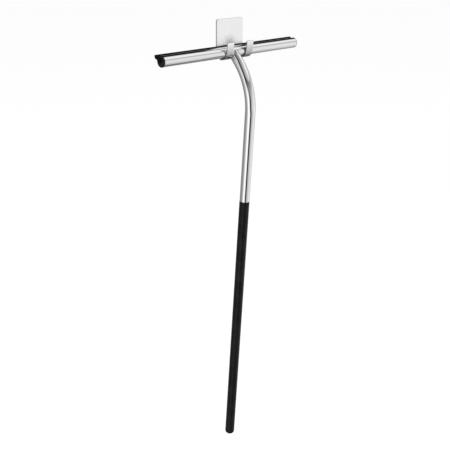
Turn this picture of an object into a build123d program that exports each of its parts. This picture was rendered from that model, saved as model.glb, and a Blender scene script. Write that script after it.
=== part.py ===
from build123d import *
import math
import os

# A long-handled window and shower squeegee hanging in its self-adhesive wall hook.
# Millimetres, +Z up, +X along the head, +Y towards the wall.
# The origin is the centre of the adhesive pad's back face, where the hook meets the wall.

# ---- driving dimensions: wall hook ----
HOOK_WIDTH = 48.0            # plate width, also the distance over both fingers
FINGER_WIDTH = 12.0          # each bent finger
SHEET = 1.5                  # thickness of the bent stainless sheet
PLATE_CORNER = 3.0           # radius of the plate's top corners
PLATE_TOP = 41.0             # plate's top edge above the head axis
FINGER_TIP = 13.0            # fingers' tips above the head axis
FINGER_LEAN = 16.0           # the fingers lean forwards as they leave the cradle, upright at their tips
PAD_WIDTH = 47.0
PAD_HEIGHT = 40.0
PAD_THICKNESS = 1.0
PAD_CENTRE = 20.7            # pad centre above the head axis

# ---- driving dimensions: head ----
HEAD_LENGTH = 245.0          # over both end caps
TUBE_RADIUS = 7.0            # the head and the handle are the same tube
TUBE_WALL = 1.0
CAP_FLANGE = 1.0
CAP_SPIGOT = 8.0
BLADE_LENGTH = 250.0         # the rubber stands a little proud of both caps
BLADE_ANGLE = 33.5           # the slot faces the wall and upwards, from horizontal
LIP_REACH = 8.7              # head axis to the blade's blunt tip
LIP_TOP = 7.5
LIP_BOTTOM = 4.8
ROOT_HALF = 1.7              # half width of the wedge where it leaves the head
ROOT_DISTANCE = 7.3
NECK_HALF = 1.0
BEAD_RADIUS = 2.4
BEAD_CENTRE = 2.0            # bead centre from the head axis, towards the slot
BLADE_CLEARANCE = 0.3        # all round the blade, which slides out lengthways
CHANNEL_BACK = -1.9          # flat back of the inner channel, from the head axis
CHANNEL_RADIUS = 5.95

# ---- driving dimensions: handle ----
HANDLE_ANGLE = 42.0          # the handle leaves the head this far from straight down
HANDLE_STRAIGHT = 16.0
BEND_RADIUS = 87.0
LEAN_ANGLE = 3.7             # the long straight run leans back towards the wall
CHROME_BOTTOM = 199.0        # where the plated tube ends, below the head axis
GRIP_BOTTOM = 590.0          # lowest point of the grip, below the head axis
END_CAP_LENGTH = 7.0
END_CAP_EDGE = 3.6
SEAL_THICKNESS = 0.8
CORE_RADIUS = 5.95
CORE_WALL = 1.0
BUSH_LENGTH = 22.0
STUD_RADIUS = 3.0
STUD_LENGTH = 40.0
PLUG_SPIGOT = 14.0
FIT = 0.05                   # radial clearance of pieces that are pushed or screwed together

# ---- driving dimensions: screw that holds the handle to the head ----
SCREW_RADIUS = 2.0
SCREW_LENGTH = 16.0
SCREW_HEAD_RADIUS = 3.0
SCREW_HEAD_HEIGHT = 1.8
SCREW_SEAT = 4.7             # underside of the screw head, from the head axis
KEY_SIZE = 2.5
KEY_DEPTH = 1.1
WASHER_RADIUS = 3.5
INSERT_LENGTH = 26.0         # from the head axis

# The squeegee hangs a little left of the hook's middle, with the handle between the fingers.
HANG_OFFSET = 4.5
LIP_GAP = 0.3
PLATE_FRONT = LIP_REACH + LIP_GAP                    # plate's front face, from the head axis
HEAD_Y = -(PAD_THICKNESS + SHEET + PLATE_FRONT)
HEAD_Z = -PAD_CENTRE
CRADLE_FRONT = -(TUBE_RADIUS + LIP_GAP)
CRADLE_RADIUS = (PLATE_FRONT - CRADLE_FRONT) / 2
CRADLE_Y = (PLATE_FRONT + CRADLE_FRONT) / 2
CRADLE_Z = 0.2               # centre of the cradle's bend, above the head axis


def section(x):
    """The plane across the head at x, with the head axis at its centre, Y to the right and Z up."""
    return Plane(origin=(x, HEAD_Y, HEAD_Z), x_dir=(0, 1, 0), z_dir=(1, 0, 0))


def slot_section(x):
    """The same plane, turned so that its first axis runs out through the blade's slot."""
    turn = math.radians(BLADE_ANGLE)
    return Plane(origin=(x, HEAD_Y, HEAD_Z), x_dir=(0, math.cos(turn), math.sin(turn)), z_dir=(1, 0, 0))


def point_on_slot_axes(y, z):
    """A point given from the head axis, in the axes of slot_section."""
    turn = math.radians(BLADE_ANGLE)
    along = y * math.cos(turn) + z * math.sin(turn)
    across = -y * math.sin(turn) + z * math.cos(turn)
    return along, across


def save(piece, name):
    """Labels a finished piece and writes it to its own file."""
    piece.part.label = name
    export_step(piece.part, f"parts/{name}.step")


os.makedirs("parts", exist_ok=True)

# ---- wall hook ----

# The plate and its two fingers are one bent sheet: flat against the wall, then forward
# under the head and up in front of it.
plate_bottom = HEAD_Z + CRADLE_Z
plate_height = HEAD_Z + PLATE_TOP - plate_bottom
plate_back = -PAD_THICKNESS
finger_x = (HOOK_WIDTH - FINGER_WIDTH) / 2
with BuildPart() as hook_plate:
    with BuildSketch(Plane.XZ.offset(-plate_back)):
        with Locations((0, plate_bottom + plate_height / 2)):
            Rectangle(HOOK_WIDTH, plate_height)
        fillet(vertices().group_by(Axis.Y)[-1], PLATE_CORNER)
    extrude(amount=SHEET)
    middle_radius = CRADLE_RADIUS + SHEET / 2
    lean_turn = math.radians(FINGER_LEAN)
    limb_radius = (FINGER_TIP - CRADLE_Z) / math.sin(lean_turn) + middle_radius
    for side in (-1, 1):
        with BuildSketch(section(side * finger_x - FINGER_WIDTH / 2)):
            with BuildLine():
                start = 180 + FINGER_LEAN
                bend = CenterArc((CRADLE_Y, CRADLE_Z), middle_radius, start, 360 - start)
                upwards = (-math.sin(lean_turn), math.cos(lean_turn))
                JernArc(bend @ 0, upwards, limb_radius, -FINGER_LEAN)
            trace(line_width=SHEET)
        extrude(amount=FINGER_WIDTH)
save(hook_plate, "hook_plate")

with BuildPart() as adhesive_pad:
    with BuildSketch(Plane.XZ):
        RectangleRounded(PAD_WIDTH, PAD_HEIGHT, PLATE_CORNER)
    extrude(amount=PAD_THICKNESS)
save(adhesive_pad, "adhesive_pad")

# ---- handle path, in the plane through the middle of the head ----

head_middle = section(-HANG_OFFSET)
start_angle = 270 - HANDLE_ANGLE
start_direction = (math.cos(math.radians(start_angle)), math.sin(math.radians(start_angle)))
lean = math.radians(LEAN_ANGLE)
with BuildLine(head_middle) as handle_path:
    upper_run = Line((0, 0), (HANDLE_STRAIGHT * start_direction[0], HANDLE_STRAIGHT * start_direction[1]))
    handle_bend = JernArc(upper_run @ 1, start_direction, BEND_RADIUS, HANDLE_ANGLE + LEAN_ANGLE)
bend_end = handle_bend @ 1
lean_direction = Vector(0, math.sin(lean), -math.cos(lean))


def on_handle(below_head):
    """The plane across the straight run, at a distance below the head axis, facing down the handle."""
    run = (bend_end.Z - HEAD_Z + below_head) / math.cos(lean)
    return Plane(origin=bend_end + lean_direction * run, x_dir=(1, 0, 0), z_dir=lean_direction)


def on_handle_start(distance):
    """The plane across the handle's upper run, at a distance from the head axis, facing down the handle."""
    direction = handle_path.line % 0
    return Plane(origin=(handle_path.line @ 0) + direction * distance, x_dir=(1, 0, 0), z_dir=direction)


chrome_end = on_handle(CHROME_BOTTOM)
seal_drop = SEAL_THICKNESS * math.cos(lean)
grip_start = on_handle(CHROME_BOTTOM + seal_drop)
handle_end = on_handle(GRIP_BOTTOM)
grip_length = (handle_end.origin - grip_start.origin).length - END_CAP_LENGTH

# ---- head ----

# A thin tube, slotted along its whole length on the wall side. One hole takes the handle's
# screw, and a wider one opposite, over the slot, lets the key in.
tube_length = HEAD_LENGTH - 2 * CAP_FLANGE
tube_start = -HANG_OFFSET - tube_length / 2
bore_radius = TUBE_RADIUS - TUBE_WALL
slot_half = NECK_HALF + BLADE_CLEARANCE
with BuildPart() as head_tube:
    with BuildSketch(slot_section(tube_start)):
        Circle(TUBE_RADIUS)
        Circle(bore_radius, mode=Mode.SUBTRACT)
        with Locations((TUBE_RADIUS, 0)):
            Rectangle(TUBE_RADIUS, 2 * slot_half, mode=Mode.SUBTRACT)
    extrude(amount=tube_length)
    with BuildSketch(on_handle_start(0)):
        Circle(SCREW_RADIUS + 2 * FIT)
    extrude(amount=2 * TUBE_RADIUS, mode=Mode.SUBTRACT)
    with BuildSketch(on_handle_start(0)):
        Circle(SCREW_HEAD_RADIUS + 2 * BLADE_CLEARANCE)
    extrude(amount=-2 * TUBE_RADIUS, mode=Mode.SUBTRACT)
save(head_tube, "head_tube")

# A D-shaped inner channel fills the slotted side of the tube and holds the blade's bead.
with BuildPart() as blade_channel:
    with BuildSketch(slot_section(tube_start + FIT)):
        Circle(CHANNEL_RADIUS)
        with Locations((CHANNEL_BACK - CHANNEL_RADIUS, 0)):
            Rectangle(2 * CHANNEL_RADIUS, 2 * CHANNEL_RADIUS, mode=Mode.SUBTRACT)
        with Locations((BEAD_CENTRE, 0)):
            Circle(BEAD_RADIUS + BLADE_CLEARANCE, mode=Mode.SUBTRACT)
        with Locations((BEAD_CENTRE + CHANNEL_RADIUS / 2, 0)):
            Rectangle(CHANNEL_RADIUS, 2 * slot_half, mode=Mode.SUBTRACT)
    extrude(amount=tube_length - 2 * FIT)
save(blade_channel, "blade_channel")

# The rubber blade is one profile: a round bead in the channel, a neck through the slot,
# and a thick wedge that ends in a blunt vertical tip.
lip_top = point_on_slot_axes(LIP_REACH, LIP_TOP)
lip_bottom = point_on_slot_axes(LIP_REACH, LIP_BOTTOM)
neck_start = BEAD_CENTRE + BEAD_RADIUS / 2
with BuildPart() as blade:
    with BuildSketch(slot_section(-HANG_OFFSET - BLADE_LENGTH / 2)):
        with Locations((BEAD_CENTRE, 0)):
            Circle(BEAD_RADIUS)
        with BuildLine():
            Polyline(
                (neck_start, -NECK_HALF),
                (ROOT_DISTANCE, -NECK_HALF),
                (ROOT_DISTANCE, -ROOT_HALF),
                lip_bottom,
                lip_top,
                (ROOT_DISTANCE, ROOT_HALF),
                (ROOT_DISTANCE, NECK_HALF),
                (neck_start, NECK_HALF),
                close=True,
            )
        make_face()
    extrude(amount=BLADE_LENGTH)
save(blade, "blade")

# Push-in caps close both ends. Each flange is open where the blade runs through, and
# each spigot fills the half of the tube behind the channel.
cap_clearance = BEAD_RADIUS + BLADE_CLEARANCE
spigot_back = CHANNEL_BACK - BLADE_CLEARANCE
for side, cap_name in ((-1, "end_cap_left"), (1, "end_cap_right")):
    flange_plane = slot_section(-HANG_OFFSET + side * tube_length / 2)
    with BuildPart() as end_cap:
        with BuildSketch(flange_plane):
            Circle(TUBE_RADIUS)
        extrude(amount=side * CAP_FLANGE)
        fillet(edges().filter_by(GeomType.CIRCLE).sort_by(Axis.X)[-1 if side > 0 else 0], CAP_FLANGE / 3)
        with BuildSketch(flange_plane):
            with Locations((BEAD_CENTRE, 0)):
                Circle(cap_clearance)
            with Locations((BEAD_CENTRE + TUBE_RADIUS / 2, 0)):
                Rectangle(TUBE_RADIUS, 2 * slot_half)
        extrude(amount=side * 2 * CAP_FLANGE, mode=Mode.SUBTRACT)
        with BuildSketch(flange_plane):
            Circle(bore_radius - FIT)
            with Locations((spigot_back + TUBE_RADIUS, 0)):
                Rectangle(2 * TUBE_RADIUS, 2 * TUBE_RADIUS, mode=Mode.SUBTRACT)
        extrude(amount=-side * CAP_SPIGOT)
    save(end_cap, cap_name)

# ---- joint between head and handle ----

# The plated handle tube: notched to the head, a short straight, one bend, and a long run
# that leans back to the wall.
with BuildPart() as handle_tube:
    with BuildLine(head_middle) as plated_path:
        top_run = Line((0, 0), (HANDLE_STRAIGHT * start_direction[0], HANDLE_STRAIGHT * start_direction[1]))
        top_bend = JernArc(top_run @ 1, start_direction, BEND_RADIUS, HANDLE_ANGLE + LEAN_ANGLE)
        Line(top_bend @ 1, chrome_end.origin)
    with BuildSketch(on_handle_start(0)):
        Circle(TUBE_RADIUS)
        Circle(bore_radius, mode=Mode.SUBTRACT)
    sweep(path=plated_path.line)
    with BuildSketch(section(-HANG_OFFSET - 2 * TUBE_RADIUS)):
        Circle(TUBE_RADIUS)
    extrude(amount=4 * TUBE_RADIUS, mode=Mode.SUBTRACT)
save(handle_tube, "handle_tube")

# A tapped insert, brazed into the top of the handle tube and notched to the head as well.
with BuildPart() as handle_insert:
    with BuildSketch(on_handle_start(0)):
        Circle(bore_radius - 2 * FIT)
    extrude(amount=HANDLE_STRAIGHT)
    with BuildSketch(on_handle_start(0)):
        Circle(SCREW_RADIUS + FIT)
    extrude(amount=INSERT_LENGTH, mode=Mode.SUBTRACT)
    with BuildSketch(section(-HANG_OFFSET - 2 * TUBE_RADIUS)):
        Circle(TUBE_RADIUS)
    extrude(amount=4 * TUBE_RADIUS, mode=Mode.SUBTRACT)
save(handle_insert, "handle_insert")

# The washer is curved to the tube's bore on one side and flat under the screw head.
with BuildPart() as joint_washer:
    with BuildSketch(on_handle_start(SCREW_SEAT)):
        Circle(WASHER_RADIUS)
        Circle(SCREW_RADIUS + 2 * FIT, mode=Mode.SUBTRACT)
    extrude(amount=TUBE_RADIUS)
    with BuildSketch(section(-HANG_OFFSET - 2 * TUBE_RADIUS)):
        Circle(bore_radius)
    extrude(amount=4 * TUBE_RADIUS, mode=Mode.INTERSECT)
save(joint_washer, "joint_washer")

with BuildPart() as joint_screw:
    with BuildSketch(on_handle_start(SCREW_SEAT)):
        Circle(SCREW_HEAD_RADIUS)
    extrude(amount=-SCREW_HEAD_HEIGHT)
    with BuildSketch(on_handle_start(SCREW_SEAT - SCREW_HEAD_HEIGHT)):
        RegularPolygon(KEY_SIZE / 2, 6, major_radius=False)
    extrude(amount=KEY_DEPTH, mode=Mode.SUBTRACT)
    with BuildSketch(on_handle_start(SCREW_SEAT)):
        Circle(SCREW_RADIUS)
    extrude(amount=SCREW_LENGTH - SCREW_SEAT)
save(joint_screw, "joint_screw")

# ---- joint between plated tube and grip ----

# The grip screws on: a tapped bush in each half and a stud through both, with a thin
# rubber ring in the seam.
stud_bore = STUD_RADIUS + FIT
with BuildPart() as handle_bush:
    with BuildSketch(chrome_end):
        Circle(bore_radius - FIT)
        Circle(stud_bore, mode=Mode.SUBTRACT)
    extrude(amount=-BUSH_LENGTH)
save(handle_bush, "handle_bush")

with BuildPart() as seam_ring:
    with BuildSketch(chrome_end):
        Circle(TUBE_RADIUS)
        Circle(stud_bore + FIT, mode=Mode.SUBTRACT)
    extrude(amount=SEAL_THICKNESS)
save(seam_ring, "seam_ring")

with BuildPart() as joint_stud:
    with BuildSketch(chrome_end):
        Circle(STUD_RADIUS)
    extrude(amount=STUD_LENGTH / 2, both=True)
    chamfer(edges().filter_by(GeomType.CIRCLE), STUD_RADIUS / 6)
save(joint_stud, "joint_stud")

core_bore = CORE_RADIUS - CORE_WALL
with BuildPart() as grip_bush:
    with BuildSketch(grip_start):
        Circle(core_bore - FIT)
        Circle(stud_bore, mode=Mode.SUBTRACT)
    extrude(amount=BUSH_LENGTH)
save(grip_bush, "grip_bush")

with BuildPart() as grip_core:
    with BuildSketch(grip_start):
        Circle(CORE_RADIUS)
        Circle(core_bore, mode=Mode.SUBTRACT)
    extrude(amount=grip_length)
save(grip_core, "grip_core")

# ---- grip ----

with BuildPart() as grip_sleeve:
    with BuildSketch(grip_start):
        Circle(TUBE_RADIUS)
        Circle(bore_radius, mode=Mode.SUBTRACT)
    extrude(amount=grip_length)
save(grip_sleeve, "grip_sleeve")

# The rounded end: a stopper whose spigot is pushed into the core tube.
cap_origin = handle_end.origin - lean_direction * END_CAP_LENGTH
cap_seat = Plane(origin=cap_origin, x_dir=(1, 0, 0), z_dir=lean_direction)
with BuildPart() as grip_end_cap:
    with BuildSketch(cap_seat):
        Circle(TUBE_RADIUS)
    extrude(amount=END_CAP_LENGTH)
    fillet(edges().filter_by(GeomType.CIRCLE).sort_by(Axis.Z)[0], END_CAP_EDGE)
    with BuildSketch(cap_seat):
        Circle(core_bore - FIT)
    extrude(amount=-PLUG_SPIGOT)
save(grip_end_cap, "grip_end_cap")

print("head axis", HEAD_Y, HEAD_Z, "handle end", handle_end.origin)
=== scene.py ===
# %% [markdown]
# # A long-handled squeegee, hanging in its wall hook
#
# The real thing is a slotted chrome tube with a rubber blade, on a bent chrome handle with a
# black grip, resting in a bent sheet hook that is stuck to the wall. The CAD model already
# holds the sizes, the inner pieces and the motion. This lesson keeps those as they are and
# makes the outer pieces again with smoother surfaces, small edge radii and real finishes.

# %% Load the frame
import bmesh
import bpy
import math
from mathutils import Matrix, Vector


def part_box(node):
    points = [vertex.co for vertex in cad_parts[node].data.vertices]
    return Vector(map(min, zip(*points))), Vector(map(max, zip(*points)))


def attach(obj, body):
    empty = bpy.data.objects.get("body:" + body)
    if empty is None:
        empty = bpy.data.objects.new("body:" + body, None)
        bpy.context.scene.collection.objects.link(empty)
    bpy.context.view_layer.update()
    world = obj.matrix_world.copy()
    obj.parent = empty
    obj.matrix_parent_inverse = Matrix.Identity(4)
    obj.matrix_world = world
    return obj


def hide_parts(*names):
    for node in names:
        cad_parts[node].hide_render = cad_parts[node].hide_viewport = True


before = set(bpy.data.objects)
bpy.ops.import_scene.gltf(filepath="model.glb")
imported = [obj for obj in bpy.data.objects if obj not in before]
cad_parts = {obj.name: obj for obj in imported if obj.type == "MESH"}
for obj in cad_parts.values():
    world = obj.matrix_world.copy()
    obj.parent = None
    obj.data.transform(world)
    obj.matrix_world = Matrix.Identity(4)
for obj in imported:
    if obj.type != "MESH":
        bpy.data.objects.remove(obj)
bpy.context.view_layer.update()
MM = 0.001

# %% [markdown]
# ## Where the head is
#
# Everything hangs from the head, so its axis comes first. The head tube's box in the frame
# gives the axis, the length and the radius. The slot for the rubber points up and back.

# %% The head's axis, in metres
head_low, head_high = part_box("head_tube")
head = (head_low + head_high) / 2
head_length = head_high.x - head_low.x
tube_radius = (head_high.z - head_low.z) / 2
tube_wall = 1 * MM
slot_turn = math.radians(33.5)
print("head axis", [round(value / MM, 2) for value in head], "tube radius", round(tube_radius / MM, 2))

# %% [markdown]
# ## Working by hand, in code
#
# Every piece is made the same way: deselect everything, add a primitive, shape it in edit
# mode, and finish it with modifiers that are applied. These few helpers are the hands.


# %% Helpers for selecting
def clear():
    """Leaves edit mode and deselects everything."""
    if bpy.context.mode != "OBJECT":
        bpy.ops.object.mode_set(mode="OBJECT")
    bpy.ops.object.select_all(action="DESELECT")


def only(piece):
    """Selects one object and nothing else."""
    clear()
    piece.select_set(True)
    bpy.context.view_layer.objects.active = piece


def pick(piece, test, kind="VERT"):
    """Enters edit mode and selects the vertices, edges or faces whose points all pass the test."""
    only(piece)
    bpy.ops.object.mode_set(mode="EDIT")
    bpy.ops.mesh.select_mode(type=kind)
    bpy.ops.mesh.select_all(action="DESELECT")
    mesh = bmesh.from_edit_mesh(piece.data)
    parts = {"VERT": mesh.verts, "EDGE": mesh.edges, "FACE": mesh.faces}[kind]
    for part in parts:
        points = [part] if kind == "VERT" else part.verts
        if all(test(point.co) for point in points):
            part.select_set(True)
    bmesh.update_edit_mesh(piece.data)


def pick_all(piece):
    """Enters edit mode with everything selected."""
    only(piece)
    bpy.ops.object.mode_set(mode="EDIT")
    bpy.ops.mesh.select_all(action="SELECT")


clear()
print("nothing is selected:", len(bpy.context.selected_objects) == 0)


# %% Helpers for finishing a piece
def settle(piece):
    """Puts a piece's place, turn and scale into its mesh."""
    only(piece)
    bpy.ops.object.transform_apply(location=True, rotation=True, scale=True)


def modify(piece, kind, **settings):
    """Adds one modifier and applies it."""
    only(piece)
    modifier = piece.modifiers.new(kind.title(), kind)
    for name, value in settings.items():
        setattr(modifier, name, value)
    bpy.ops.object.modifier_apply(modifier=modifier.name)


def round_edges(piece, width, segments=3, angle=32):
    """A small radius on every sharp edge, and smooth shading everywhere else."""
    modify(piece, "BEVEL", width=width, segments=segments, limit_method="ANGLE",
           angle_limit=math.radians(angle), harden_normals=True, use_clamp_overlap=True)
    only(piece)
    bpy.ops.object.shade_smooth_by_angle(angle=math.radians(angle))
    modify(piece, "WEIGHTED_NORMAL", keep_sharp=True, weight=80)


def finish_piece(piece, body, slot, material, *nodes):
    """Gives a piece its material and its body, and hides the CAD nodes that it stands for. The slot argument
    is not used.
    """
    piece.data.materials.clear()
    piece.data.materials.append(material)
    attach(piece, body)
    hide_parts(*nodes)
    print(piece.name, len(piece.data.polygons), "faces")


nudge = 0.01 * MM
print("places are compared to within", nudge / MM, "mm")

# %% [markdown]
# ## Finishes
#
# A finish is more than a colour. Plating is nearly a mirror, but handling leaves faint
# streaks and smudges in its gloss. Rubber is dull with a fine grain. Each finish below is
# made next to its piece, from noise that is fixed to the object and stretched along it.


# %% Helpers for materials
def new_material(name, **values):
    """A material with one Principled shader. Values that are the same all over are set on the shader."""
    material = bpy.data.materials.new(name)
    material.use_nodes = True
    shader = material.node_tree.nodes["Principled BSDF"]
    for socket, value in values.items():
        shader.inputs[socket.replace("_", " ")].default_value = value
    return material


def add_node(owner, kind, inputs, **settings):
    """One node in a material or a world. An input is a number, a colour, or another node's output."""
    tree = owner.node_tree
    made = tree.nodes.new(kind)
    for name, value in settings.items():
        setattr(made, name, value)
    for name, value in inputs.items():
        if isinstance(value, bpy.types.NodeSocket):
            tree.links.new(value, made.inputs[name])
        else:
            made.inputs[name].default_value = value
    return made


def connect(material, socket, output):
    """Feeds the shader's socket from another node."""
    shader = material.node_tree.nodes["Principled BSDF"]
    material.node_tree.links.new(output, shader.inputs[socket])


def object_noise(material, scale, detail=4.0, stretch=(1, 1, 1)):
    """Noise fixed to the object, optionally stretched along an axis. Scale is in waves a metre."""
    place = add_node(material, "ShaderNodeTexCoord", {})
    mapping = add_node(material, "ShaderNodeMapping", {"Vector": place.outputs["Object"], "Scale": stretch})
    noise = add_node(material, "ShaderNodeTexNoise",
                     {"Vector": mapping.outputs["Vector"], "Scale": scale, "Detail": detail})
    return noise.outputs["Fac"]


def spread(material, value, low, high, from_low=0.3, from_high=0.7):
    """Maps a value onto a range. Most noise lies between 0.3 and 0.7."""
    ranged = add_node(material, "ShaderNodeMapRange",
                      {"Value": value, "From Min": from_low, "From Max": from_high,
                       "To Min": low, "To Max": high})
    return ranged.outputs["Result"]


def add_up(material, first, second):
    """The sum of two values."""
    return add_node(material, "ShaderNodeMath", {0: first, 1: second}, operation="ADD").outputs["Value"]


def blend_colours(material, share, first, second):
    """The first colour where the share is 0, the second where it is 1."""
    mixed = add_node(material, "ShaderNodeMix", {"Factor": share}, data_type="RGBA")
    mixed.inputs[6].default_value = (*first, 1)
    mixed.inputs[7].default_value = (*second, 1)
    return mixed.outputs[2]


def bump(material, height, strength, depth):
    """Relief of a given depth, in metres."""
    made = add_node(material, "ShaderNodeBump", {"Height": height, "Strength": strength, "Distance": depth})
    connect(material, "Normal", made.outputs["Normal"])


def tell(*finishes):
    """Prints what each finish is made of."""
    for finish in finishes:
        print("finish", finish.name, "with", len(finish.node_tree.nodes), "nodes")


# %% [markdown]
# ## The hook
#
# The hook is satin steel, so it blurs what it mirrors. Its lower bends face the ground, so the steel's colour
# is painted darker there as painted shade: the colour is blended by height.


# %% Satin steel, for the hook
def satin(name, lit_tone, painted_shade_tone, painted_shade_height, lit_height, roughness):
    """Satin stainless steel with a fine upright grain, a few smudges, and painted shade that darkens its
    colour towards the bottom.
    """
    material = new_material(name, Metallic=1.0)
    place = add_node(material, "ShaderNodeTexCoord", {})
    level = add_node(material, "ShaderNodeSeparateXYZ", {"Vector": place.outputs["Object"]}).outputs["Z"]
    # Painted shade: by height alone, the colour runs from the dark tone low on the hook to the bright tone
    # above.
    share = spread(material, level, 0.0, 1.0, painted_shade_height, lit_height)
    painted_shade_steel, lit_steel = (painted_shade_tone, painted_shade_tone, 1.02 * painted_shade_tone), (lit_tone, lit_tone, 1.01 * lit_tone)
    connect(material, "Base Color", blend_colours(material, share, painted_shade_steel, lit_steel))
    grain = object_noise(material, 1.0, 5.0, (1500, 1500, 60))
    smudges = object_noise(material, 55.0, 3.0)
    grained = spread(material, grain, roughness - 0.05, roughness + 0.05)
    connect(material, "Roughness", add_up(material, grained, spread(material, smudges, -0.02, 0.03)))
    bump(material, grain, 0.2, 0.01 * MM)
    return material


# Painted shade on the hook: dark 0.34 steel from 9 mm below the head's axis, full 0.95 steel from 12 mm above
# it.
hook_steel = satin("hook_steel", 0.95, 0.34, head.z - 9 * MM, head.z + 12 * MM, 0.30)
tell(hook_steel)

# %% [markdown]
# The hook is one sheet, cut and bent, so it is modelled as one sheet too. A flat plate is cut
# into three columns with bisect. The lower edges of the outer columns are spun round the head,
# then through a large arc that leans forwards and ends upright, as fingers. Only after that
# does the sheet get its thickness, and so it stays even through the bends.

# %% The sheet's sizes and the centres of its bends
sheet = 1.5 * MM
plate_low, plate_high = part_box("hook_plate")
hook_width = plate_high.x - plate_low.x
finger_width = 12 * MM
finger_edge = hook_width / 2 - finger_width
finger_tip = head.z + 13 * MM
finger_lean = math.radians(16)
plate_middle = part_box("adhesive_pad")[0].y - sheet / 2
cradle_gap = 0.3 * MM
cradle_rise = 0.2 * MM
cradle_radius = (plate_middle - head.y + sheet / 2 + tube_radius + cradle_gap) / 2
cradle = Vector((0, plate_middle - cradle_radius, head.z + cradle_rise))
limb_radius = (finger_tip - cradle.z) / math.sin(finger_lean) + cradle_radius
to_centre = Vector((0, math.cos(finger_lean), math.sin(finger_lean)))
limb_centre = cradle + to_centre * (limb_radius - cradle_radius)
print("cradle radius", round(cradle_radius / MM, 2), "and finger radius", round(limb_radius / MM, 1))

# %% The bent sheet
clear()
bpy.ops.mesh.primitive_plane_add(size=1, location=(0, plate_middle, (plate_high.z + cradle.z) / 2),
                                 rotation=(math.radians(90), 0, 0))
hook = bpy.context.object
hook.name = "wall_hook_sheet"
hook.scale = (hook_width, plate_high.z - cradle.z, 1)
settle(hook)
for side in (-1, 1):
    pick_all(hook)
    bpy.ops.mesh.bisect(plane_co=(side * finger_edge, 0, 0), plane_no=(1, 0, 0))
for side in (-1, 1):
    pick(hook, lambda p: p.z < cradle.z + nudge and side * p.x > finger_edge - nudge, "EDGE")
    bpy.ops.mesh.spin(steps=28, angle=math.pi - finger_lean, center=cradle, axis=(1, 0, 0))
    bpy.ops.mesh.spin(steps=14, angle=finger_lean, center=limb_centre, axis=(1, 0, 0))
clear()
lowest = min(v.co.z for v in hook.data.vertices)
tips = max(v.co.z for v in hook.data.vertices if v.co.y < head.y)
print("cradle bottom", round((lowest - head.z) / MM, 2), "and finger tips", round((tips - head.z) / MM, 2),
      "from the head's axis")

# %% Corners, thickness and edges of the hook
plate_corner = 3 * MM
tip_corner = 0.8 * MM
pick(hook, lambda p: p.z > plate_high.z - nudge and abs(p.x) > hook_width / 2 - nudge)
bpy.ops.mesh.bevel(offset=plate_corner, segments=10, affect="VERTICES")
pick(hook, lambda p: p.y < head.y and p.z > tips - nudge)
bpy.ops.mesh.bevel(offset=tip_corner, segments=5, affect="VERTICES")
pick_all(hook)
bpy.ops.mesh.normals_make_consistent(inside=False)
modify(hook, "SOLIDIFY", thickness=sheet, offset=0, use_even_offset=True)
round_edges(hook, 0.25 * MM)
finish_piece(hook, "wall_hook", "satin_steel", hook_steel, "hook_plate")

# %% [markdown]
# The pad behind the plate is foam tape with a rounded outline, a little smaller than the
# plate. It starts as a cube. Its four short edges, from the wall to the plate, are rounded
# first, and then the thin rim. Voronoi cells of different greys give the look of foam.

# %% Foam, for the pad
foam = new_material("pad_foam", Specular_IOR_Level=0.2)
foam_place = add_node(foam, "ShaderNodeTexCoord", {}).outputs["Object"]
foam_cells = add_node(foam, "ShaderNodeTexVoronoi", {"Vector": foam_place, "Scale": 1400.0})
cells = foam_cells.outputs["Distance"]
connect(foam, "Base Color", blend_colours(foam, cells, (0.10, 0.10, 0.105), (0.20, 0.20, 0.21)))
connect(foam, "Roughness", spread(foam, cells, 0.8, 0.95, 0.0, 1.0))
bump(foam, cells, 0.6, 0.2 * MM)
tell(foam)

# %% The adhesive pad
pad_low, pad_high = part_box("adhesive_pad")
clear()
bpy.ops.mesh.primitive_cube_add(size=1, location=(pad_low + pad_high) / 2, scale=pad_high - pad_low)
pad = bpy.context.object
pad.name = "foam_pad"
settle(pad)
for across in (pad_low.x, pad_high.x):
    for up in (pad_low.z, pad_high.z):
        pick(pad, lambda p: abs(p.x - across) < nudge and abs(p.z - up) < nudge, "EDGE")
        bpy.ops.mesh.bevel(offset=plate_corner, segments=8, affect="EDGES")
round_edges(pad, 0.12 * MM, 2)
finish_piece(pad, "wall_hook", "pad_foam", foam, "adhesive_pad")

# %% [markdown]
# ## The head
#
# The head and the handle are plated tubes. The polishing streaks run along each tube, so the
# noise is stretched along X for the head and along Z for the handle.


# %% Plating, for the tubes
def plating(name, brightness, stretch):
    """Bright chrome with faint lengthwise polishing streaks and a few dull smudges."""
    material = new_material(name, Base_Color=(brightness, brightness, 1.01 * brightness, 1), Metallic=1.0)
    streaks = object_noise(material, 1.0, 6.0, stretch)
    smudges = object_noise(material, 45.0, 3.0)
    streaked = spread(material, streaks, 0.0, 0.03)
    connect(material, "Roughness", add_up(material, streaked, spread(material, smudges, 0.02, 0.06)))
    bump(material, streaks, 0.15, 0.01 * MM)
    return material


head_plating = plating("head_plating", 0.82, (12, 2600, 2600))
handle_plating = plating("handle_plating", 0.87, (2600, 2600, 12))
tell(head_plating, handle_plating)


# %% Helpers for solid pieces
def rod(name, start, end, radius, vertices=96):
    """A plain cylinder between two points, as the start of a piece."""
    clear()
    middle, run = (start + end) / 2, end - start
    bpy.ops.mesh.primitive_cylinder_add(vertices=vertices, radius=radius, depth=run.length, location=middle,
                                        rotation=run.to_track_quat("Z", "Y").to_euler())
    piece = bpy.context.object
    piece.name = name
    settle(piece)
    return piece


def combine(piece, other, operation):
    """Joins another solid to a piece, or cuts it away, and removes the other."""
    modify(piece, "BOOLEAN", object=other, operation=operation, solver="EXACT")
    bpy.data.objects.remove(other)


def turned_to_slot(piece):
    """Turns a piece made about the origin, slot along +Y, so that it lies on the head's axis."""
    piece.rotation_euler = (slot_turn, 0, 0)
    piece.location = head
    settle(piece)


handle_turn = math.radians(42)
leave = Vector((0, -math.sin(handle_turn), -math.cos(handle_turn)))
print("the handle leaves the head along", [round(value, 3) for value in leave])

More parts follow.
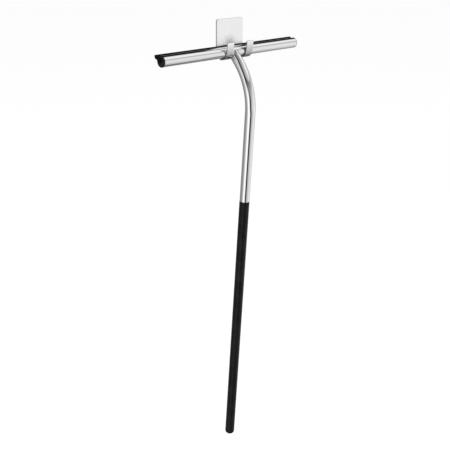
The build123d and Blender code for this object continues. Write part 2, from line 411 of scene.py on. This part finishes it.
# %% [markdown]
# The head is a thin tube with a slot along its wall side. A closed tube is bisected at both
# edges of the slot, the strip between is deleted, and Solidify gives the wall. The slot's own
# direction points up and back, so the piece is made lying straight and is turned at the end.
# A few rings of edges keep the long faces short where the ends and the key hole are cut. The
# hole lets a key through to the screw that holds the handle.

# %% The slotted tube
half = head_length / 2
slot_half = 1.3 * MM
ring_distance = 8 * MM
key_hole_radius = 3.6 * MM
clear()
bpy.ops.mesh.primitive_cylinder_add(vertices=160, radius=tube_radius, depth=head_length,
                                    end_fill_type="NOTHING", rotation=(0, math.radians(90), 0))
tube = bpy.context.object
tube.name = "slotted_head_tube"
settle(tube)
for place in (-half + ring_distance, -ring_distance, ring_distance, half - ring_distance):
    pick_all(tube)
    bpy.ops.mesh.bisect(plane_co=(place, 0, 0), plane_no=(1, 0, 0))
for side in (-1, 1):
    pick_all(tube)
    bpy.ops.mesh.bisect(plane_co=(0, 0, side * slot_half), plane_no=(0, 0, 1))
pick(tube, lambda p: p.y > 0 and abs(p.z) < slot_half + nudge, "FACE")
bpy.ops.mesh.delete(type="FACE")
pick_all(tube)
bpy.ops.mesh.normals_make_consistent(inside=False)
modify(tube, "SOLIDIFY", thickness=tube_wall, offset=-1, use_even_offset=True)
turned_to_slot(tube)
key_hole = rod("key_hole", head, head - leave * 2 * tube_radius, key_hole_radius, 48)
combine(tube, key_hole, "DIFFERENCE")
round_edges(tube, 0.15 * MM, 2)
finish_piece(tube, "squeegee", "polished_chrome", head_plating, "head_tube")

# %% [markdown]
# ## The rubber
#
# The black pieces are rubber and moulded plastic: almost no colour, a fine grain in relief and
# a gloss that varies a little. They differ in how rough they are and how much they shine.


# %% Moulded finishes, for the rubber, the caps and the grip
def moulded(name, colour, roughness, grain, depth, shine):
    """A black moulded surface. Shine is the strength of its plain reflection."""
    material = new_material(name, Specular_IOR_Level=shine)
    fine = object_noise(material, grain, 6.0)
    broad = object_noise(material, 60.0, 3.0)
    lighter = tuple(1.6 * value + 0.004 for value in colour)
    connect(material, "Base Color", blend_colours(material, spread(material, broad, 0, 1), colour, lighter))
    connect(material, "Roughness", spread(material, fine, roughness - 0.06, roughness + 0.06))
    bump(material, fine, 0.35, depth)
    return material


blade_rubber = moulded("blade_rubber", (0.003, 0.003, 0.0033), 0.45, 2200.0, 0.03 * MM, 0.08)
cap_plastic = moulded("cap_plastic", (0.004, 0.004, 0.0045), 0.38, 3200.0, 0.03 * MM, 0.25)
grip_rubber = moulded("grip_rubber", (0.005, 0.005, 0.0053), 0.27, 3800.0, 0.04 * MM, 0.13)
tell(blade_rubber, cap_plastic, grip_rubber)

# %% [markdown]
# The blade is one moulding: a round bead that the channel holds, a thin neck through the
# slot, and a thick wedge with a blunt tip. The bead is a cylinder. The wedge starts as a
# cube whose outer face is moved to the tip's place, and whose inner face is drawn in as the
# neck. The tip is a little proud of both end caps.

# %% The blade's section
blade_low, blade_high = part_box("blade")
blade_half = (blade_high.x - blade_low.x) / 2
bead_radius = 2.4 * MM
bead_place = 2 * MM
neck_half = 1 * MM
root_half = 1.7 * MM
root_place = 7.3 * MM
wedge_length = 1 * MM
tip_height = 2.7 * MM
lip_top = Vector((0, blade_high.y, blade_high.z)) - head
lip_bottom = lip_top - Vector((0, 0, tip_height))
straight = Matrix.Rotation(-slot_turn, 3, "X")
tip_top, tip_bottom = straight @ lip_top, straight @ lip_bottom
print("the tip is", [round(value / MM, 2) for value in lip_top], "from the head's axis")

# %% The rubber blade
clear()
bpy.ops.mesh.primitive_cube_add(size=1, location=(0, root_place + wedge_length / 2, 0),
                                scale=(2 * blade_half, wedge_length, 2 * root_half))
wedge = bpy.context.object
wedge.name = "rubber_blade"
settle(wedge)
for upper, tip in ((True, tip_top), (False, tip_bottom)):
    pick(wedge, lambda p: p.y > root_place + nudge and (p.z > 0) == upper)
    selected = next(v.co.copy() for v in bmesh.from_edit_mesh(wedge.data).verts if v.select)
    bpy.ops.transform.translate(value=(0, tip.y - selected.y, tip.z - selected.z))
pick(wedge, lambda p: p.y < root_place + nudge, "FACE")
bpy.ops.mesh.extrude_region_move(TRANSFORM_OT_translate={"value": (0, 0, 0)})
bpy.ops.transform.resize(value=(1, 1, neck_half / root_half))
bpy.ops.mesh.extrude_region_move(TRANSFORM_OT_translate={"value": (0, bead_place - root_place, 0)})
bead = rod("bead", Vector((-blade_half, bead_place, 0)), Vector((blade_half, bead_place, 0)), bead_radius, 40)
combine(wedge, bead, "UNION")
turned_to_slot(wedge)
round_edges(wedge, 0.25 * MM, 3)
finish_piece(wedge, "blade", "blade_rubber", blade_rubber, "blade")

# %% [markdown]
# ## End caps and channel
#
# The end caps are black stoppers: a thin flange with a rounded rim, and a spigot that fills
# the half of the tube behind the channel. Both are open where the rubber runs through, so
# the rubber's own shape, a little larger, is cut away. The channel is cut with it as well.

# %% Sizes of the caps and the channel
clearance = 0.3 * MM
channel_back = -1.9 * MM
flange = 1 * MM
spigot = 8 * MM
spigot_radius = tube_radius - tube_wall - 0.05 * MM
space_length = 2.2 * blade_half
print("the spigot's radius is", round(spigot_radius / MM, 2))


# %% Helpers for the caps and the channel
def blade_space():
    """The room that the bead and the neck need, made about the origin and longer than the blade."""
    start, end = Vector((-space_length / 2, bead_place, 0)), Vector((space_length / 2, bead_place, 0))
    space = rod("blade_space", start, end, bead_radius + clearance, 48)
    clear()
    bpy.ops.mesh.primitive_cube_add(size=1, location=(0, bead_place + tube_radius / 2, 0),
                                    scale=(space_length, tube_radius, 2 * (neck_half + clearance)))
    neck = bpy.context.object
    settle(neck)
    combine(space, neck, "UNION")
    return space


def halved(piece, place, keep_front):
    """Cuts a solid about the origin flat at that distance along the slot, and keeps one half."""
    pick_all(piece)
    bpy.ops.mesh.bisect(plane_co=(0, place, 0), plane_no=(0, 1, 0), use_fill=True,
                        clear_inner=keep_front, clear_outer=not keep_front)
    only(piece)


# %% The two end caps
for side, name in ((-1, "end_cap_left"), (1, "end_cap_right")):
    face = Vector((side * half, 0, 0))
    outward = Vector((side, 0, 0))
    cap = rod(f"{name}_stopper", face, face + outward * flange, tube_radius)
    pick(cap, lambda p: abs(p.x) > half + flange - nudge, "FACE")
    bpy.ops.mesh.bevel(offset=flange / 3, segments=4, affect="EDGES")
    combine(cap, blade_space(), "DIFFERENCE")
    plug = rod("plug", face + outward * flange / 2, face - outward * spigot, spigot_radius)
    halved(plug, channel_back - clearance, False)
    combine(cap, plug, "UNION")
    turned_to_slot(cap)
    round_edges(cap, 0.08 * MM, 2)
    finish_piece(cap, "squeegee", "cap_plastic", cap_plastic, name)

# %% [markdown]
# The channel is extruded alloy, so its marks run along X. The same kind of finish suits the
# metals inside, with tool marks in other directions, so one helper makes them all.


# %% Plain metals with tool marks
def turned(name, colour, worn, roughness, stretch):
    """A plain metal with tool marks along one direction and a little tarnish."""
    material = new_material(name, Metallic=1.0)
    marks = object_noise(material, 1.0, 5.0, stretch)
    tarnish = object_noise(material, 240.0, 4.0)
    connect(material, "Base Color", blend_colours(material, spread(material, tarnish, 0, 1), colour, worn))
    connect(material, "Roughness", spread(material, marks, roughness - 0.08, roughness + 0.10))
    bump(material, marks, 0.4, 0.02 * MM)
    return material


alloy = turned("channel_alloy", (0.78, 0.79, 0.80), (0.66, 0.67, 0.69), 0.33, (20, 1900, 1900))
brass = turned("insert_brass", (0.80, 0.60, 0.30), (0.62, 0.44, 0.20), 0.30, (300, 300, 4200))
steel = turned("fastener_steel", (0.66, 0.66, 0.67), (0.50, 0.50, 0.52), 0.28, (300, 300, 4200))
core_steel = turned("core_steel", (0.60, 0.60, 0.62), (0.46, 0.46, 0.49), 0.36, (1800, 1800, 20))
tell(alloy, brass, steel, core_steel)

# %% The channel
channel = rod("inner_channel", Vector((-half, 0, 0)), Vector((half, 0, 0)), spigot_radius)
halved(channel, channel_back, True)
combine(channel, blade_space(), "DIFFERENCE")
turned_to_slot(channel)
round_edges(channel, 0.1 * MM, 2)
finish_piece(channel, "squeegee", "channel_alloy", alloy, "blade_channel")

# %% [markdown]
# ## The handle
#
# The handle leaves the head at 42 degrees, bends once, and its long run leans back to the
# wall by 3.7 degrees. So its whole path comes from two lengths, a radius and two angles. The
# points on the long run are given by how far below the head's axis they are.

# %% The handle's path
handle_straight = 16 * MM
bend_radius = 87 * MM
lean = math.radians(3.7)
bend_start = head + leave * handle_straight
bend_centre = bend_start + Vector((0, math.cos(handle_turn), -math.sin(handle_turn))) * bend_radius
bend_end = bend_centre + Matrix.Rotation(handle_turn + lean, 3, "X") @ (bend_start - bend_centre)
down_run = Vector((0, math.sin(lean), -math.cos(lean)))


def on_run(below_head):
    """The point on the handle's long run, that far below the head's axis."""
    return bend_end + down_run * ((bend_end.z - head.z + below_head) / math.cos(lean))


chrome_end = on_run(199 * MM)
print("the seam's centre is", [round(value / MM, 1) for value in chrome_end])

# %% [markdown]
# One ring of points is drawn out along the short straight, spun through the bend and drawn
# out again to the seam. After Solidify, a cylinder the size of the head is cut away from its
# top, so that it sits on the head like the real tube does.

# %% The bent handle
clear()
bpy.ops.mesh.primitive_circle_add(vertices=96, radius=tube_radius, location=head,
                                  rotation=(-handle_turn, 0, 0))
handle = bpy.context.object
handle.name = "plated_handle"
settle(handle)
pick_all(handle)
bpy.ops.mesh.extrude_edges_move(TRANSFORM_OT_translate={"value": leave * handle_straight})
bpy.ops.mesh.spin(steps=72, angle=-(handle_turn + lean), center=bend_centre, axis=(1, 0, 0))
bpy.ops.mesh.extrude_edges_move(TRANSFORM_OT_translate={"value": chrome_end - bend_end})
pick_all(handle)
bpy.ops.mesh.normals_make_consistent(inside=False)
modify(handle, "SOLIDIFY", thickness=tube_wall, offset=-1, use_even_offset=True)
notch_reach = Vector((30 * MM, 0, 0))
notch = rod("notch", head - notch_reach, head + notch_reach, tube_radius, 160)
combine(handle, notch, "DIFFERENCE")
round_edges(handle, 0.12 * MM, 2)
finish_piece(handle, "squeegee", "polished_chrome", handle_plating, "handle_tube")

# %% [markdown]
# ## The grip
#
# A rubber sleeve over a steel core, closed by a rounded stopper. A thin rubber ring sits in
# the seam between the plating and the sleeve. All three are cylinders on the same line, with
# a bore or a spigot added and their rims rounded.

# %% Places along the grip
seal = 0.8 * MM
stopper_length = 7 * MM
grip_start = chrome_end + down_run * seal
grip_bottom = on_run(590 * MM)
sleeve_end = grip_bottom - down_run * stopper_length
print("the sleeve is", round((sleeve_end - grip_start).length / MM, 1), "mm long")

# %% The seam ring
ring_bore = 3.1 * MM
ring = rod("seam_ring_rubber", chrome_end, grip_start, tube_radius)
core_space = rod("core_space", chrome_end - down_run * seal, grip_start + down_run * seal, ring_bore)
combine(ring, core_space, "DIFFERENCE")
round_edges(ring, 0.25 * MM, 4)
finish_piece(ring, "squeegee", "blade_rubber", blade_rubber, "seam_ring")

# %% The sleeve
sleeve = rod("grip_sleeve_rubber", grip_start, sleeve_end, tube_radius)
bore = rod("bore", grip_start - down_run * seal, sleeve_end + down_run * seal, tube_radius - tube_wall)
combine(sleeve, bore, "DIFFERENCE")
round_edges(sleeve, 0.35 * MM, 4)
finish_piece(sleeve, "squeegee", "grip_rubber", grip_rubber, "grip_sleeve")

# %% The stopper
stopper_edge = 3.6 * MM
plug_length = 14 * MM
plug_overlap = 1 * MM
plug_radius = 4.9 * MM
stopper = rod("grip_stopper", sleeve_end, grip_bottom, tube_radius)
pick(stopper, lambda p: (p - grip_bottom).dot(down_run) > -nudge, "FACE")
bpy.ops.mesh.bevel(offset=stopper_edge, segments=12, affect="EDGES")
stopper_plug = rod("stopper_plug", sleeve_end - down_run * plug_length, sleeve_end + down_run * plug_overlap,
                   plug_radius)
combine(stopper, stopper_plug, "UNION")
round_edges(stopper, 0.2 * MM, 3, 50)
finish_piece(stopper, "squeegee", "grip_rubber", grip_rubber, "grip_end_cap")

# %% [markdown]
# ## The pieces inside
#
# The insert, screw, washer, stud, bushes and core keep their CAD shapes. Each gets the metal
# that it is made of.

# %% Metals on the CAD pieces
inside = {"handle_insert": brass, "handle_bush": brass, "grip_bush": brass, "joint_washer": steel,
          "joint_screw": steel, "joint_stud": steel, "grip_core": core_steel}
for name, material in inside.items():
    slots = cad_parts[name].material_slots
    for slot in slots:
        slot.material = material
    print(name, len(slots), "slot")

# %% [markdown]
# ## Studio
#
# Chrome only shows what is around it. The floor is plain and pale, and mirror-like pieces
# look through it, so that they see the studio instead.

# %% The floor
floor_size = 60
floor_drop = 150 * MM
clear()
bpy.ops.mesh.primitive_plane_add(size=floor_size, location=(0, 0, grip_bottom.z - floor_drop))
floor = bpy.context.object
floor.name = "floor"
settle(floor)
floor.visible_glossy = False
floor_paint = new_material("floor_paint", Base_Color=(0.92, 0.92, 0.92, 1), Roughness=0.9,
                           Specular_IOR_Level=0.0)
floor.data.materials.append(floor_paint)
print("the floor is at", round((grip_bottom.z - floor_drop) / MM), "mm")

# %% [markdown]
# The world is a pale studio whose brightness changes with height and direction: bright panels
# in front, darker behind and straight below, and one narrow dark flag near the viewer. These
# give the long bands on the tubes. Each curve is a short list of directions in degrees, with
# the brightness there. Turns are counted from the viewer's side of the wall. One curve holds
# for the lower part of the room and one for the upper part, and they blend above the horizon.

# %% Helpers for the world
world = bpy.data.worlds.new("studio")
bpy.context.scene.world = world
world.use_nodes = True


def calculate(operation, *values):
    """One step of arithmetic."""
    made = add_node(world, "ShaderNodeMath", dict(enumerate(values)), operation=operation)
    return made.outputs["Value"]


def of_turn(degrees):
    """A turn in degrees, 0 straight out from the wall, as a share of a full turn."""
    return (degrees + 180) / 360


def of_height(degrees):
    """Degrees above the horizon, as a share of the way from straight down to straight up."""
    return (math.sin(math.radians(degrees)) + 1) / 2


def curve(stops, value):
    """A brightness curve from (position, brightness) pairs."""
    made = add_node(world, "ShaderNodeValToRGB", {"Fac": value})
    points = made.color_ramp.elements
    while len(points) < len(stops):
        points.new(0.5)
    for point, (place, brightness) in zip(points, stops):
        point.position = place
        point.color = (brightness, brightness, brightness, 1)
    return made.outputs["Color"]


def mix(share, first, second):
    """The first where the share is 0, the second where it is 1."""
    made = add_node(world, "ShaderNodeMix", {"Factor": share}, data_type="RGBA")
    for socket, colour in ((made.inputs[6], first), (made.inputs[7], second)):
        if isinstance(colour, bpy.types.NodeSocket):
            world.node_tree.links.new(colour, socket)
        else:
            socket.default_value = colour
    return made.outputs[2]


print("straight out is a share of", of_turn(0), "and the horizon of", of_height(0))

# %% Directions in the room
direction = add_node(world, "ShaderNodeTexCoord", {}).outputs["Generated"]
axes = add_node(world, "ShaderNodeSeparateXYZ", {"Vector": direction}).outputs
angle = calculate("ARCTAN2", axes["X"], calculate("MULTIPLY", axes["Y"], -1.0))
turn = calculate("MULTIPLY_ADD", angle, 1 / (2 * math.pi), 0.5)
height = calculate("MULTIPLY_ADD", axes["Z"], 0.5, 0.5)
slide = add_node(world, "ShaderNodeMapRange", {"Value": height, "To Min": 12 / 360, "To Max": 0.0,
                                               "From Min": of_height(-18), "From Max": of_height(-11)})
low_turn = calculate("SUBTRACT", turn, slide.outputs["Result"])
print("the lower panels slide round by 12 degrees between 11 and 18 degrees below the horizon")

# %% Panels and flags
low_turns = ((-180, 0.28), (-140, 0.33), (-118, 0.55), (-102, 0.85), (-92, 1.3), (-63, 1.3), (-55, 0.08),
             (-50, 0.04), (-33, 0.04), (-26, 0.42), (0, 0.78), (24, 0.92), (50, 1.05), (80, 0.85),
             (97, 0.5), (112, 0.6), (125, 1.0), (152, 1.0), (166, 0.4), (180, 0.28))
high_turns = ((-180, 0.08), (-140, 0.3), (-110, 1.1), (-84, 1.1), (-77, 0.04), (-56, 0.03), (-49, 0.35),
              (-15, 0.5), (28, 0.85), (45, 1.0), (86, 1.0), (97, 0.3), (104, 0.02), (150, 0.01),
              (180, 0.08))
heights = ((-90, 0.02), (-62, 0.04), (-50, 0.2), (-43, 0.5), (-36, 0.68), (-28, 0.85), (-12, 0.92),
           (2, 0.88), (12, 0.82), (20, 0.55), (26, 0.48), (30, 1.06), (48, 1.0), (58, 0.65), (72, 0.35),
           (90, 0.2))
low_around = curve([(of_turn(place), brightness) for place, brightness in low_turns], low_turn)
high_around = curve([(of_turn(place), brightness) for place, brightness in high_turns], turn)
upward = curve([(of_height(place), brightness) for place, brightness in heights], height)
above = curve([(of_height(0), 0.0), (of_height(14), 1.0)], height)
studio = calculate("MULTIPLY", mix(above, low_around, high_around), upward)
print(len(low_turns), "and", len(high_turns), "turns and", len(heights), "heights")

# %% [markdown]
# Only reflections see the panels and flags. Everything else sees plain pale light, so the
# background stays even and the black rubber is lit from all sides.

# %% Panels for reflections, plain light for the rest
reflection = add_node(world, "ShaderNodeLightPath", {}).outputs["Is Glossy Ray"]
seen = mix(reflection, (1.06, 1.06, 1.06, 1), studio)
background = world.node_tree.nodes["Background"]
world.node_tree.links.new(seen, background.inputs["Color"])
print("the world has", len(world.node_tree.nodes), "nodes")

# %% [markdown]
# One broad lamp overhead adds a soft direction to the light. It is kept out of reflections.

# %% The lamp
lamp = bpy.data.objects.new("overhead_lamp", bpy.data.lights.new("overhead_lamp", "AREA"))
bpy.context.scene.collection.objects.link(lamp)
lamp.data.shape = "DISK"
lamp.data.size = 2.2
lamp.data.energy = 14
lamp.location = (-0.8, -1.2, 1.9)
lamp_target = Vector((0, 0, -0.3))
lamp.rotation_euler = (lamp_target - lamp.location).to_track_quat("-Z", "Y").to_euler()
lamp.visible_glossy = False
lamp.visible_camera = False
print("the lamp is", round((lamp_target - lamp.location).length, 2), "m from the handle")

# %% [markdown]
# The camera stands in front and to the left, a little above the head, and looks down at the
# whole length of the handle. Its place is counted from the head.

# %% The camera
camera = bpy.data.objects.new("camera", bpy.data.cameras.new("camera"))
bpy.context.scene.collection.objects.link(camera)
bpy.context.scene.camera = camera
camera.location = head + Vector((-723.9, -700.9, 145.8)) * MM
camera.rotation_euler = (math.radians(68.98), math.radians(-0.22), math.radians(-45.34))
camera.data.lens = 61.2
bpy.context.scene.view_settings.view_transform = "Standard"
print("the camera is", round((camera.location - head).length, 2), "m from the head")
